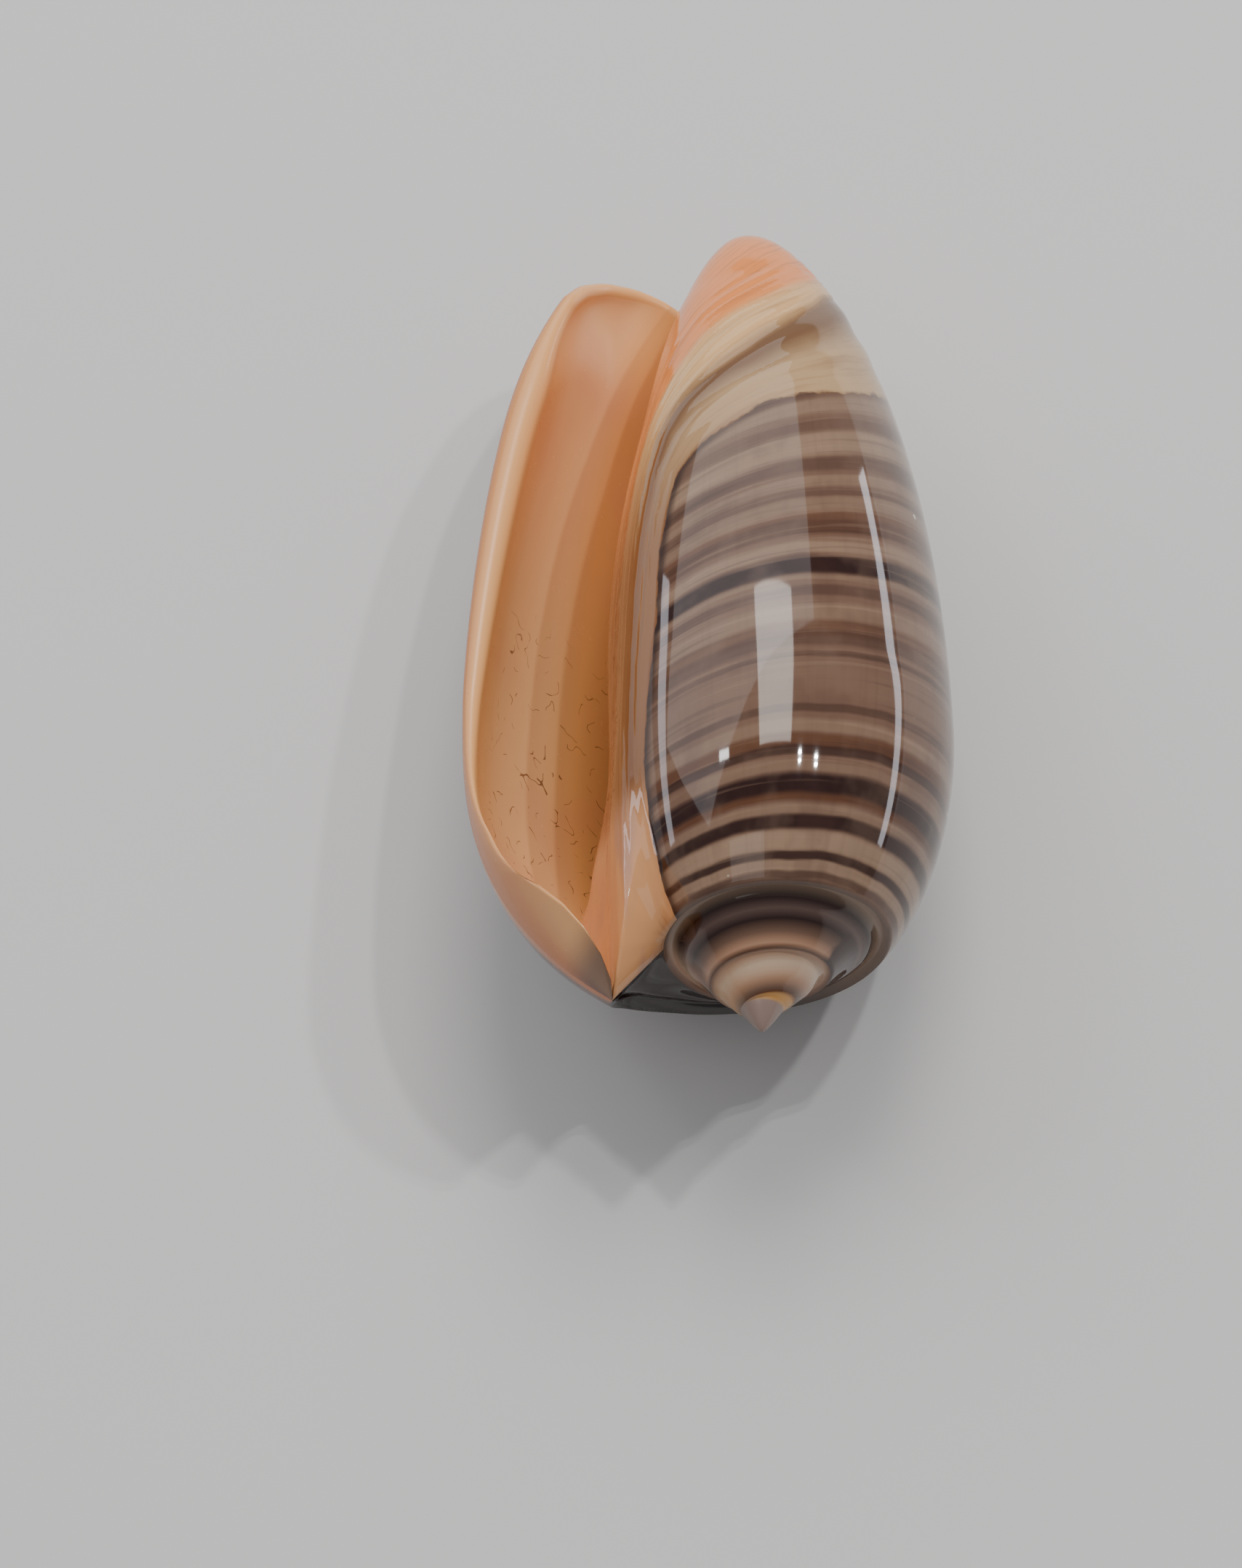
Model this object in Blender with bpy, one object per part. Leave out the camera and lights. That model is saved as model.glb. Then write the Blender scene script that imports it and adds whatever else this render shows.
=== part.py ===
import math

import bmesh
import bpy
import numpy as np
from mathutils import Matrix, Vector

# Olive shell: one coiled calcareous piece that has grown along a spiral.
# All dimensions are in millimetres until the last step. While the surface is being built
# y = 0 is the apex, +y the front (anterior) end, +z the open side and +x the side away from the lip.
MM = 0.001

# Body whorl outline: value at the lip, half a turn back and a full turn back
RADIUS = (13.75, 9.46, 6.90)        # widest radius of the outline
WIDEST = (16.65, 16.10, 18.50)      # distance of the widest place from the apex
FRONT = (45.30, 45.40, 45.60)       # distance of the outline's front end from the apex
BACK_Y = (0.70, 1.16, 0.80)         # roundness of the shoulder, lengthwise
BACK_R = (1.22, 0.85, 1.00)         # roundness of the shoulder, across
FORE_Y = (1.375, 1.02, 0.94)        # roundness of the front half, lengthwise
FORE_R = (0.472, 1.00, 1.76)        # roundness of the front half, across
SOFT = (0.007, 0.00, 0.00)          # softens the passage over the widest place
MID_SHARE = 0.28                    # share of the rows behind the widest place

# Suture: the spiral line where each whorl joins the one before it
SUTURE_TURN = (0, 16, 36, 66, 96, 140, 186, 276, 366, 546, 726, 906, 1080, 1440)
SUTURE_R = (6.80, 6.95, 6.92, 6.80, 6.55, 6.25, 5.90, 5.15, 4.40, 3.20, 2.30, 1.55, 0.95, 0.95)
SUTURE_Y = (1.30, 2.10, 3.30, 4.45, 4.90, 5.05, 4.90, 4.65, 4.10, 3.15, 2.35, 1.75, 1.15, 1.15)

# Free front margin of the outer wall, from the lip's lobe round to the columella
MARGIN_TURN = (0, 10, 20, 30, 40, 50, 60, 90, 120, 155, 192)
MARGIN_R = (9.30, 8.15, 7.00, 6.05, 5.35, 4.95, 4.80, 4.75, 4.65, 4.30, 3.94)
MARGIN_Y = (41.10, 43.20, 44.15, 44.40, 44.20, 43.80, 43.40, 42.80, 42.10, 41.70, 42.20)

# Foot of the columella's rounded tip
FOOT_TURN = (0, 45, 90, 140, 192, 276, 360)
FOOT_R = (2.98, 2.80, 2.80, 3.30, 3.94, 3.38, 2.98)
FOOT_Y = (41.45, 41.45, 41.45, 41.80, 42.20, 41.05, 41.45)
TIP_Y = 45.75
TIP_SHIFT = 0.15
TIP_POWER = 0.53                    # the tip widens with this power of the distance from its end

LIP_ANGLE = -84.0                   # direction of the lip round the axis, from +z towards +x
CLOSING_TURN = 120.0                # from here back the cavity closes
CAVITY_TURN = 192.0                 # how far back from the lip the cavity reaches
LIP_WALL = 1.7
WALL = 1.25
WALL_REACH = 70.0                   # turn over which the lip thins to the plain wall
MARGIN_SHARE = 0.50                 # thickness of the front margin against the wall
CANAL_TURN = 48.0                   # turn over which the rear canal closes to the full wall
CANAL_THIN = 3.0                    # how fast the lip thickens away from the suture
CANAL_SLIDE = 12.0                  # how fast the inner face leaves the suture
PAD_TURN = 326.0                    # the callus pad starts here and ends under the lip
PAD_END = 18.0                      # the callus has merged with the whorl this far from the apex
PAD_HOLD = 0.40                     # share of that length where the callus keeps its thickness
PAD_SWELL = 0.25
PAD_BACK = 30.0                     # turn over which the callus thins out inside the mouth
INSIDE_END = 15.0                   # and has merged with the whorl this far from the apex there
SHOULDER_Y = 4.2                    # shoulder of the whorl under the callus
FOOT_REACH = 9.0                    # length over which the columella turns into its tip
LOBE_TURN = 2.5                     # how far the lip's front corner is rounded back
CHANNEL_DEPTH = 0.42                # groove along the suture
CHANNEL_WALL = 0.22
CHANNEL_FLOOR = 0.45
CHANNEL_END = 1.00
SPIRE_HOLLOW = 0.16
WHORL_BULGE = 0.10

# Facets
TURN_STEP = 6.0
SPIRE_TURN = 1080.0                 # here the suture has closed to a ring, which the first whorl caps
SHOULDER_ROWS = 3
BODY_ROWS = 21
SHOULDER_SHARE = 0.16               # share of the rows that belongs to the shoulder
SHOULDER_REACH = 0.10               # share of the outline those rows cover
RIM_ROWS = 4
TIP_ROWS = 5
TIP_CROWD = 1.6
CAP_ROWS = 2
CAP_POWER = 1.3
WELD = 1.0e-6

# The shell lies on its back, its narrow front end a little lower, on a small worn flat
PITCH_DEG = -4.5
FLAT_DEPTH = 0.26
CUTTER_SIDE = 80.0
CUTTER_HEIGHT = 10.0

COLOUR = (0.55, 0.40, 0.30, 1.0)
ROUGHNESS = 0.25
SHARP_DEG = 40.0


def mix(a, b, t):
    return a + (b - a) * t


def smooth(start, end, x):
    t = np.clip((x - start) / (end - start), 0.0, 1.0)
    return t * t * (3.0 - 2.0 * t)


def spline(xs, ys):
    # monotone cubic through the listed points
    xs = np.asarray(xs, float)
    ys = np.asarray(ys, float)
    gap = np.diff(xs)
    slope = np.diff(ys) / gap
    m = np.zeros(len(xs))
    for i in range(1, len(xs) - 1):
        if slope[i - 1] * slope[i] > 0:
            w1 = 2 * gap[i] + gap[i - 1]
            w2 = gap[i] + 2 * gap[i - 1]
            m[i] = (w1 + w2) / (w1 / slope[i - 1] + w2 / slope[i])
    m[0], m[-1] = slope[0], slope[-1]

    def value(x):
        x = np.clip(np.asarray(x, float), xs[0], xs[-1])
        i = np.clip(np.searchsorted(xs, x) - 1, 0, len(xs) - 2)
        t = (x - xs[i]) / gap[i]
        a = (1 + 2 * t) * (1 - t) ** 2 * ys[i] + t * (1 - t) ** 2 * gap[i] * m[i]
        b = t * t * (3 - 2 * t) * ys[i + 1] + t * t * (t - 1) * gap[i] * m[i + 1]
        return a + b

    return value


suture_r = spline(SUTURE_TURN, SUTURE_R)
suture_y = spline(SUTURE_TURN, SUTURE_Y)
margin_r = spline(MARGIN_TURN, MARGIN_R)
margin_y = spline(MARGIN_TURN, MARGIN_Y)
foot_r = spline(FOOT_TURN, FOOT_R)
foot_y = spline(FOOT_TURN, FOOT_Y)


def aged(values, turn):
    # quadratic through the values at the lip, half a turn and a full turn back
    a, b, c = values
    t = np.clip(turn / 180.0, -1.0, 2.0)
    return a * (t - 1) * (t - 2) / 2 - b * t * (t - 2) + c * t * (t - 1) / 2


def widest_radius(turn):
    a, b, c = (math.log(v) for v in RADIUS)
    older = np.maximum(turn / 180.0 - 2.0, 0.0)
    return np.exp(aged((a, b, c), turn) + older * (c - b))


def outline_radius(turn, y, rear):
    # radius of the whorl's outline at a distance y from the apex; rear is the length of its
    # back part, from the widest place to where it would meet the axis
    mid, front = aged(WIDEST, turn), aged(FRONT, turn)
    by, br, fy, fr = aged(BACK_Y, turn), aged(BACK_R, turn), aged(FORE_Y, turn), aged(FORE_R, turn)
    c_rear = np.clip((mid - y) / rear, 0, 1) ** (1 / by)
    soft = np.maximum(aged(SOFT, turn), 0)
    part = np.clip((y - mid) / (front - mid), 0, 0.9999)
    c_fore = ((np.hypot(part, soft) - soft) / (np.hypot(1, soft) - soft)) ** (1 / fy)
    c = np.where(y < mid, c_rear, c_fore)
    s = np.sqrt(np.maximum(1 - c * c, 1e-9))
    return widest_radius(turn) * np.where(y < mid, s ** br, s ** fr)


def rear_length(turn):
    # lets the outline start at the suture
    share = (suture_r(turn) / widest_radius(turn)) ** (1 / aged(BACK_R, turn))
    return (aged(WIDEST, turn) - suture_y(turn)) / np.sqrt(1 - share ** 2) ** aged(BACK_Y, turn)


def strip(turn, q):
    # spire band between the suture (q = 0) and the suture one turn older (q = 1)
    r0, y0 = suture_r(turn), suture_y(turn)
    r1, y1 = suture_r(turn + 360.0), suture_y(turn + 360.0)
    wide = r0 - r1
    young = smooth(900, 300, turn)
    away = q * wide
    y = mix(y0, y1, q)
    y = y + SPIRE_HOLLOW * wide * np.sin(math.pi * q) * young * smooth(0, 60, turn)
    y = y - WHORL_BULGE * wide * np.sin(math.pi * q) * smooth(300, 700, turn)
    dip = smooth(0, CHANNEL_WALL, away) * smooth(CHANNEL_END, CHANNEL_FLOOR, away) * smooth(1.0, 0.8, q)
    y = y + CHANNEL_DEPTH * smooth(0, 40, turn) * (0.25 + 0.75 * young) * dip
    return mix(r0, r1, q), y


def crowd(u):
    # rows crowd at the shoulder
    return np.where(u < SHOULDER_SHARE, SHOULDER_REACH * u / SHOULDER_SHARE,
                    SHOULDER_REACH + (1 - SHOULDER_REACH) * (u - SHOULDER_SHARE) / (1 - SHOULDER_SHARE))


def lobe(turn, u):
    fade = np.clip(1 - turn / CAVITY_TURN, 0, 1) ** 2
    return turn + LOBE_TURN * smooth(0.80, 1.0, u) ** 1.6 * fade


def body(turn, u):
    # outer surface of the last whorl, from the suture to the front margin or the columella's foot
    turn = lobe(turn, u)
    open_front = turn < CAVITY_TURN
    end_r = np.where(open_front, margin_r(turn), foot_r(turn))
    end_y = np.where(open_front, margin_y(turn), foot_y(turn))
    mid, front, rear = aged(WIDEST, turn), aged(FRONT, turn), rear_length(turn)
    w = crowd(u)
    last = np.arcsin(np.clip((end_y - mid) / (front - mid), 0, 0.999))
    back = mix(suture_y(turn), mid, np.clip(w / MID_SHARE, 0, 1))
    fore = mid + (end_y - mid) * np.sin(last * np.clip((w - MID_SHARE) / (1 - MID_SHARE), 0, 1)) / np.sin(last)
    y = np.where(w < MID_SHARE, back, fore)
    r = outline_radius(turn, y, rear)
    r = r + (end_r - outline_radius(turn, end_y, rear)) * smooth(0.72, 1.0, w)
    return r, y, turn


def body_normal(turn, u, step=1e-3):
    r1, y1, _ = body(turn, np.clip(u - step, 0, 1))
    r2, y2, _ = body(turn, np.clip(u + step, 0, 1))
    length = np.hypot(r2 - r1, y2 - y1) + 1e-12
    return (y2 - y1) / length, (r1 - r2) / length


def inner_base(turn, v):
    # inner face of the outer wall before it meets the parietal side. At the lip the wall thins
    # to nothing towards the suture, which leaves the rear canal; further back it is full.
    near = (1 - smooth(0, CANAL_TURN, turn)) + 0.0 * v
    rest = 1 - np.clip(v, 0, 1)
    u = mix(SHOULDER_SHARE, 1.0, v) - SHOULDER_SHARE * near * rest ** CANAL_SLIDE
    r, y, placed = body(turn, u)
    nr, ny = body_normal(turn, u)
    t = mix(LIP_WALL, WALL, smooth(0, WALL_REACH, turn)) * (1 - near * rest ** CANAL_THIN)
    t = t * mix(1.0, MARGIN_SHARE, smooth(0.75, 1.0, v))
    t = t * (1 - smooth(140, CAVITY_TURN, turn) * smooth(0.8, 1.0, v))
    return r - nr * t, y - ny * t, placed


def corner(turn):
    # rear end of the cavity, just ahead of the suture
    r, y, _ = inner_base(turn, np.zeros(np.shape(turn)))
    return r, y


def parietal(turn, v):
    # side of the cavity formed by the previous whorl and its callus
    rc, yc = corner(turn)
    rf, yf = foot_r(turn), foot_y(turn)
    y = mix(yc, yf, v)
    rear = aged(WIDEST, turn + 360.0) - SHOULDER_Y
    deep = smooth(0, PAD_BACK, turn)
    along = np.clip((y - yc) / (mix(PAD_END, INSIDE_END, deep) - yc), 0, 1)
    k = mix(smooth(PAD_HOLD, 1, along), smooth(0, 1, along), deep)
    swell = PAD_SWELL * (1 - deep) * np.sin(math.pi * along)
    r = mix(rc + swell, outline_radius(turn + 360.0, y, rear), k)
    r = r + (rf - outline_radius(turn + 360.0, yf, rear)) * smooth(yf - FOOT_REACH, yf, y)
    return r, y


def inner(turn, v):
    # inner face of the outer wall; it runs onto the parietal side where the cavity ends
    r, y, placed = inner_base(turn, v)
    rp, yp = parietal(turn, v)
    k = np.clip((turn - CLOSING_TURN) / (CAVITY_TURN - CLOSING_TURN), 0, 1) ** 2
    return mix(r, rp, k), mix(y, yp, k), placed


def pad(u):
    # outline of the whorl under the lip: spire side of the callus, then the parietal side
    q = np.clip(1 - u / SHOULDER_SHARE, 0, 1)
    v = np.clip((u - SHOULDER_SHARE) / (1 - SHOULDER_SHARE), 0, 1)
    rs, ys = strip(0.0 * u, q)
    rp, yp = parietal(0.0 * u, v)
    shoulder = u < SHOULDER_SHARE
    return np.where(shoulder, rs, rp), np.where(shoulder, ys, yp)


def outer(turn, u):
    r, y, placed = body(turn, u)
    rp, yp = pad(u)
    near = smooth(SHOULDER_SHARE, 0.0, u)
    rp = rp + (suture_r(turn) - suture_r(360.0)) * near
    yp = yp + (suture_y(turn) - suture_y(360.0)) * near
    far = smooth(0.8, 1.0, u)
    rp = rp + (foot_r(turn) - foot_r(360.0)) * far
    yp = yp + (foot_y(turn) - foot_y(360.0)) * far
    k = smooth(PAD_TURN, 360, turn)
    return mix(r, rp, k), mix(y, yp, k), placed


def tip(turn, w):
    h = (1 - w) ** TIP_CROWD
    return foot_r(turn) * h ** TIP_POWER, TIP_Y - (TIP_Y - foot_y(turn)) * h


def place(r, y, turn, shift=0.0):
    angle = np.radians(LIP_ANGLE - turn)
    return np.stack([r * np.sin(angle) + shift, y + 0.0 * angle, r * np.cos(angle)], -1)


def free_edge(us, turns):
    # the rounded edge: up the lip, round its lobe and along the front margin
    z = 0.0 * us
    r, y, placed = outer(z, us)
    out = [place(r, y, placed)]
    v = np.clip((us - SHOULDER_SHARE) / (1 - SHOULDER_SHARE), 0, 1)
    r, y, placed = inner(z, v)
    ins = [place(r, y, placed)]
    back = turns[1:]
    one = 0.0 * back + 1.0
    r, y, placed = outer(back, one)
    out.append(place(r, y, placed))
    r, y, placed = inner(back, one)
    ins.append(place(r, y, placed))
    out, ins = np.concatenate(out), np.concatenate(ins)
    uu, tt = np.concatenate([us, one]), np.concatenate([z, back])
    nr, ny = body_normal(tt, np.clip(uu, 0.01, 0.995))
    normal = place(nr, ny, lobe(tt, uu))
    along = np.gradient((out + ins) / 2, axis=0)
    ahead = np.cross(along, normal)
    ahead /= np.linalg.norm(ahead, axis=-1, keepdims=True) + 1e-12
    k = np.linspace(0, math.pi, RIM_ROWS + 1)[None, :, None]
    mid, half = (out + ins) / 2, (out - ins) / 2
    bulge = np.linalg.norm(half, axis=-1, keepdims=True)[:, None]
    return mid[:, None] + half[:, None] * np.cos(k) + ahead[:, None] * bulge * np.sin(k)


def cap(points):
    # blunt cone from the oldest spiral edge to the apex
    rows = []
    for f in np.linspace(1, 0, CAP_ROWS + 2):
        rows.append(points * np.array([f, f ** CAP_POWER, f]))
    return np.stack(rows, 1)


def add_sheet(bm, grid):
    rows = [[bm.verts.new(Vector(p)) for p in line] for line in grid]
    for a, b in zip(rows[:-1], rows[1:]):
        for i in range(len(a) - 1):
            bm.faces.new((a[i], a[i + 1], b[i + 1], b[i]))


def shell_mesh():
    rows = SHOULDER_ROWS + BODY_ROWS
    us = np.concatenate([np.linspace(0, SHOULDER_SHARE, SHOULDER_ROWS + 1),
                         np.linspace(SHOULDER_SHARE, 1, BODY_ROWS + 1)[1:]])
    vs = (us[SHOULDER_ROWS:] - SHOULDER_SHARE) / (1 - SHOULDER_SHARE)
    qs = (1 - us[:SHOULDER_ROWS + 1] / SHOULDER_SHARE)[::-1]
    turns = np.arange(0, 360 + TURN_STEP / 2, TURN_STEP)
    back = np.arange(0, CAVITY_TURN + TURN_STEP / 2, TURN_STEP)
    spire = np.arange(0, SPIRE_TURN + TURN_STEP / 2, TURN_STEP)
    ws = np.linspace(0, 1, TIP_ROWS + 1)

    bm = bmesh.new()
    r, y, placed = outer(turns[:, None] + 0 * us, us[None, :] + 0 * turns[:, None])
    add_sheet(bm, place(r, y, placed))
    t, q = spire[:, None] + 0 * qs, qs[None, :] + 0 * spire[:, None]
    r, y = strip(t, q)
    add_sheet(bm, place(r, y, t))
    t, v = back[:, None] + 0 * vs, vs[None, :] + 0 * back[:, None]
    r, y = parietal(t, v)
    add_sheet(bm, place(r, y, t))
    r, y, placed = inner(t, v)
    add_sheet(bm, place(r, y, placed))
    t, w = turns[:, None] + 0 * ws, ws[None, :] + 0 * turns[:, None]
    r, y = tip(t, w)
    add_sheet(bm, place(r, y, t, TIP_SHIFT * w))
    add_sheet(bm, free_edge(us, back))
    oldest = np.arange(SPIRE_TURN, SPIRE_TURN + 360 + TURN_STEP / 2, TURN_STEP)
    ring = place(suture_r(oldest), suture_y(oldest), oldest)
    add_sheet(bm, cap(ring))

    bmesh.ops.remove_doubles(bm, verts=bm.verts, dist=WELD / MM)
    bmesh.ops.dissolve_degenerate(bm, dist=WELD / MM, edges=bm.edges)
    bmesh.ops.recalc_face_normals(bm, faces=bm.faces)
    lie = Matrix.Scale(MM, 4) @ Matrix.Rotation(math.radians(PITCH_DEG), 4, 'X')
    bmesh.ops.transform(bm, matrix=lie, verts=bm.verts)
    low = [min(v.co[i] for v in bm.verts) for i in range(3)]
    high = [max(v.co[i] for v in bm.verts) for i in range(3)]
    stand = Vector((-(low[0] + high[0]) / 2, -(low[1] + high[1]) / 2, -low[2] - FLAT_DEPTH * MM))
    bmesh.ops.translate(bm, vec=stand, verts=bm.verts)
    mesh = bpy.data.meshes.new("shell")
    bm.to_mesh(mesh)
    bm.free()
    return mesh


def flat_cutter(collection):
    # everything below the resting plane
    bm = bmesh.new()
    bmesh.ops.create_cube(bm, size=1.0)
    size = Matrix.Diagonal((CUTTER_SIDE * MM, CUTTER_SIDE * MM, CUTTER_HEIGHT * MM, 1.0))
    bmesh.ops.transform(bm, matrix=Matrix.Translation((0, 0, -CUTTER_HEIGHT * MM / 2)) @ size, verts=bm.verts)
    mesh = bpy.data.meshes.new("resting_plane_cutter")
    bm.to_mesh(mesh)
    bm.free()
    obj = bpy.data.objects.new("resting_plane_cutter", mesh)
    obj.hide_render = True
    obj.display_type = 'WIRE'
    collection.objects.link(obj)
    return obj


def main():
    for obj in list(bpy.data.objects):
        bpy.data.objects.remove(obj)

    collection = bpy.data.collections.new("olive_shell")
    cutters = bpy.data.collections.new("cutters")
    bpy.context.scene.collection.children.link(collection)
    bpy.context.scene.collection.children.link(cutters)

    obj = bpy.data.objects.new("shell", shell_mesh())
    collection.objects.link(obj)
    cut = obj.modifiers.new("resting_flat", 'BOOLEAN')
    cut.operation = 'DIFFERENCE'
    cut.solver = 'EXACT'
    cut.object = flat_cutter(cutters)

    material = bpy.data.materials.new("shell")
    material.use_nodes = True
    skin = material.node_tree.nodes["Principled BSDF"]
    skin.inputs["Base Color"].default_value = COLOUR
    skin.inputs["Roughness"].default_value = ROUGHNESS
    obj.data.materials.append(material)
    obj.data.shade_smooth()
    obj.data.set_sharp_from_angle(angle=math.radians(SHARP_DEG))


main()
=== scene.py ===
# %% [markdown]
# # Olive shell
# This lesson dresses one glossy sea snail shell that lies on its back with its mouth turned up.
# A snail adds shell at one edge only, while that edge travels round an axis. So the whole form
# comes from one rule: an outline that is turned round the axis and grows a little on the way.
# The imported solid is loaded first, with its placing moved into its mesh, and is hidden once the shell
# is made.

import math

import bpy
import numpy as np
from mathutils import Matrix, Vector


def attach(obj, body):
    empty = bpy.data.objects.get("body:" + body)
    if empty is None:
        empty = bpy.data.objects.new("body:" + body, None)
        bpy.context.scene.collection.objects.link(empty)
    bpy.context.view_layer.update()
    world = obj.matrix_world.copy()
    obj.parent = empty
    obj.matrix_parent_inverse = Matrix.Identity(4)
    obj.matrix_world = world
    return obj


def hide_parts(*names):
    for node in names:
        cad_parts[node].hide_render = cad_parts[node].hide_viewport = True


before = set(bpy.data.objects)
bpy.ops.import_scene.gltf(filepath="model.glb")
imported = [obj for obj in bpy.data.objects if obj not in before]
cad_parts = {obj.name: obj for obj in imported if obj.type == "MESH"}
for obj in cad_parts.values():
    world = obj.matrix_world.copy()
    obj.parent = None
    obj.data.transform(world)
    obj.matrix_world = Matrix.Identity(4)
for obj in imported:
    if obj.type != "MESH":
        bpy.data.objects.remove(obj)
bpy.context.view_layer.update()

# %% [markdown]
# ## Small helpers for curves
# A growing shell has few straight lines, so most sizes change smoothly with the turn. A monotone
# cubic through a few chosen values does that without overshooting, and a smooth step blends two
# forms. Turns are counted in degrees back from the lip, lengths in millimetres from the apex.

# %% Blends and splines
MM = 0.001


def mix(a, b, t):
    return a + (b - a) * t


def smooth(start, end, x):
    t = np.clip((x - start) / (end - start), 0.0, 1.0)
    return t * t * (3.0 - 2.0 * t)


def spline(xs, ys):
    xs, ys = np.asarray(xs, float), np.asarray(ys, float)
    gap = np.diff(xs)
    slope = np.diff(ys) / gap
    m = np.zeros(len(xs))
    for i in range(1, len(xs) - 1):
        if slope[i - 1] * slope[i] > 0:
            w1 = 2 * gap[i] + gap[i - 1]
            w2 = gap[i] + 2 * gap[i - 1]
            m[i] = (w1 + w2) / (w1 / slope[i - 1] + w2 / slope[i])
    m[0], m[-1] = slope[0], slope[-1]

    def value(x):
        x = np.clip(np.asarray(x, float), xs[0], xs[-1])
        i = np.clip(np.searchsorted(xs, x) - 1, 0, len(xs) - 2)
        t = (x - xs[i]) / gap[i]
        a = (1 + 2 * t) * (1 - t) ** 2 * ys[i] + t * (1 - t) ** 2 * gap[i] * m[i]
        b = t * t * (3 - 2 * t) * ys[i + 1] + t * t * (t - 1) * gap[i] * m[i + 1]
        return a + b

    return value


def aged(values, turn):
    # quadratic through the values at the lip, half a turn back and a full turn back
    a, b, c = values
    t = np.clip(turn / 180.0, -1.0, 2.0)
    return a * (t - 1) * (t - 2) / 2 - b * t * (t - 2) + c * t * (t - 1) / 2

# %% [markdown]
# ## The whorl's outline
# Cut through its axis, each whorl shows a rounded shoulder, a widest place and a long taper to
# the front. It could be drawn once and scaled, but this shell changes its outline as it grows:
# the young whorl under the lip is slim and the last one flares. So each size is given at the lip,
# half a turn back and a full turn back, and the rule fills in between.

# %% Outline of the last whorl
RADIUS = (13.75, 9.46, 6.90)
WIDEST = (16.65, 16.10, 18.50)
FRONT = (45.30, 45.40, 45.60)
BACK_Y = (0.70, 1.16, 0.80)
BACK_R = (1.22, 0.85, 1.00)
FORE_Y = (1.375, 1.02, 0.94)
FORE_R = (0.472, 1.00, 1.76)
SOFT = (0.007, 0.00, 0.00)


def widest_radius(turn):
    a, b, c = (math.log(v) for v in RADIUS)
    older = np.maximum(turn / 180.0 - 2.0, 0.0)
    return np.exp(aged((a, b, c), turn) + older * (c - b))


def outline_radius(turn, y, rear):
    mid, front = aged(WIDEST, turn), aged(FRONT, turn)
    by, br, fy, fr = aged(BACK_Y, turn), aged(BACK_R, turn), aged(FORE_Y, turn), aged(FORE_R, turn)
    c_rear = np.clip((mid - y) / rear, 0, 1) ** (1 / by)
    soft = np.maximum(aged(SOFT, turn), 0)
    part = np.clip((y - mid) / (front - mid), 0, 0.9999)
    c_fore = ((np.hypot(part, soft) - soft) / (np.hypot(1, soft) - soft)) ** (1 / fy)
    c = np.where(y < mid, c_rear, c_fore)
    s = np.sqrt(np.maximum(1 - c * c, 1e-9))
    return widest_radius(turn) * np.where(y < mid, s ** br, s ** fr)

# %% [markdown]
# ## Suture and spire
# The suture is the spiral line where each whorl joins the one before. On an olive it lies in a
# narrow channel. The spire is the band between the suture and the same suture one turn older, so
# one strip with a small groove along its outer edge makes every step of the spire at once.

# %% Suture line and the spire's band
suture_turn = (0, 16, 36, 66, 96, 140, 186, 276, 366, 546, 726, 906, 1080, 1440)
suture_r = spline(suture_turn, (
    6.80, 6.95, 6.92, 6.80, 6.55, 6.25, 5.90, 5.15, 4.40, 3.20, 2.30, 1.55, 0.95, 0.95))
suture_y = spline(suture_turn, (
    1.30, 2.10, 3.30, 4.45, 4.90, 5.05, 4.90, 4.65, 4.10, 3.15, 2.35, 1.75, 1.15, 1.15))
CHANNEL_DEPTH, CHANNEL_WALL, CHANNEL_FLOOR, CHANNEL_END = 0.42, 0.22, 0.45, 1.00
SPIRE_HOLLOW, WHORL_BULGE = 0.16, 0.10


def rear_length(turn):
    share = (suture_r(turn) / widest_radius(turn)) ** (1 / aged(BACK_R, turn))
    return (aged(WIDEST, turn) - suture_y(turn)) / np.sqrt(1 - share ** 2) ** aged(BACK_Y, turn)


def strip(turn, q):
    r0, y0 = suture_r(turn), suture_y(turn)
    r1, y1 = suture_r(turn + 360.0), suture_y(turn + 360.0)
    wide = r0 - r1
    young = smooth(900, 300, turn)
    away = q * wide
    y = mix(y0, y1, q)
    y = y + SPIRE_HOLLOW * wide * np.sin(math.pi * q) * young * smooth(0, 60, turn)
    y = y - WHORL_BULGE * wide * np.sin(math.pi * q) * smooth(300, 700, turn)
    dip = smooth(0, CHANNEL_WALL, away) * smooth(CHANNEL_END, CHANNEL_FLOOR, away)
    dip = dip * smooth(1.0, 0.8, q)
    y = y + CHANNEL_DEPTH * smooth(0, 40, turn) * (0.25 + 0.75 * young) * dip
    return mix(r0, r1, q), y

# %% [markdown]
# ## Outside of the last whorl
# The outer face runs from the suture to the free front margin, and past half a turn to the foot
# of the columella, the pillar that the whorls share. Rows crowd at the shoulder, where the
# outline turns fastest, so that the gloss stays smooth there.

# %% Rows along the whorl
margin_turn = (0, 10, 20, 30, 40, 50, 60, 90, 120, 155, 192)
margin_r = spline(margin_turn, (9.30, 8.15, 7.00, 6.05, 5.35, 4.95, 4.80, 4.75, 4.65, 4.30, 3.94))
margin_y = spline(margin_turn, (
    41.10, 43.20, 44.15, 44.40, 44.20, 43.80, 43.40, 42.80, 42.10, 41.70, 42.20))
foot_turn = (0, 45, 90, 140, 192, 276, 360)
foot_r = spline(foot_turn, (2.98, 2.80, 2.80, 3.30, 3.94, 3.38, 2.98))
foot_y = spline(foot_turn, (41.45, 41.45, 41.45, 41.80, 42.20, 41.05, 41.45))
TIP_Y, TIP_SHIFT, TIP_POWER, TIP_CROWD = 45.75, 0.15, 0.53, 1.6
LIP_ANGLE = -84.0
CAVITY_TURN = 192.0
LOBE_TURN = 2.5
MID_SHARE, SHOULDER_SHARE, SHOULDER_REACH = 0.28, 0.16, 0.10


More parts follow.
